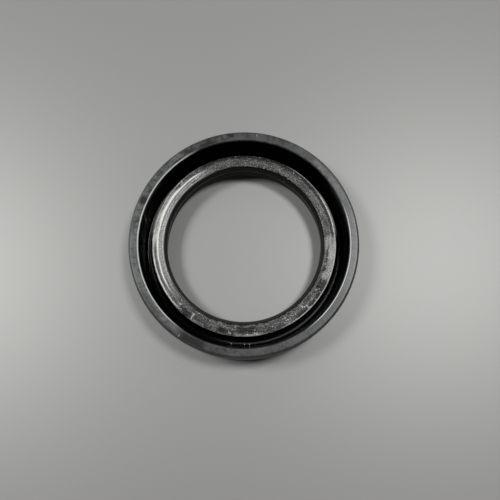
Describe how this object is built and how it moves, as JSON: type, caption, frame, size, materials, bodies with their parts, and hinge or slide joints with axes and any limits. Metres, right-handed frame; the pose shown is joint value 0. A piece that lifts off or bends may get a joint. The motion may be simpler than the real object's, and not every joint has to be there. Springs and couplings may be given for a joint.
{
  "type": "radial shaft seal",
  "caption": "Round rubber-covered radial shaft seal with a spring-loaded sealing lip and a dust lip, for a 35 mm shaft in a 50 mm bore, 10 mm wide.",
  "frame": {"origin": "centre of the flat air-side face, on the seal's axis", "axes": "+Z along the seal's axis, from the air side to the oil side, where the garter spring shows; the seal is round, so +X and +Y are free"},
  "size_m": [0.0502, 0.0502, 0.01],
  "materials": {
    "nitrile_rubber": "satin black moulded rubber, dusty on its faces and glossy down in the channel",
    "case_steel": "pressed sheet steel, bonded inside the rubber",
    "spring_steel": "close-wound drawn spring wire, oiled"
  },
  "bodies": {
    "root": {"rubber_body": "nitrile_rubber", "steel_case": "case_steel", "garter_spring": "spring_steel"}
  },
  "joints": []
}
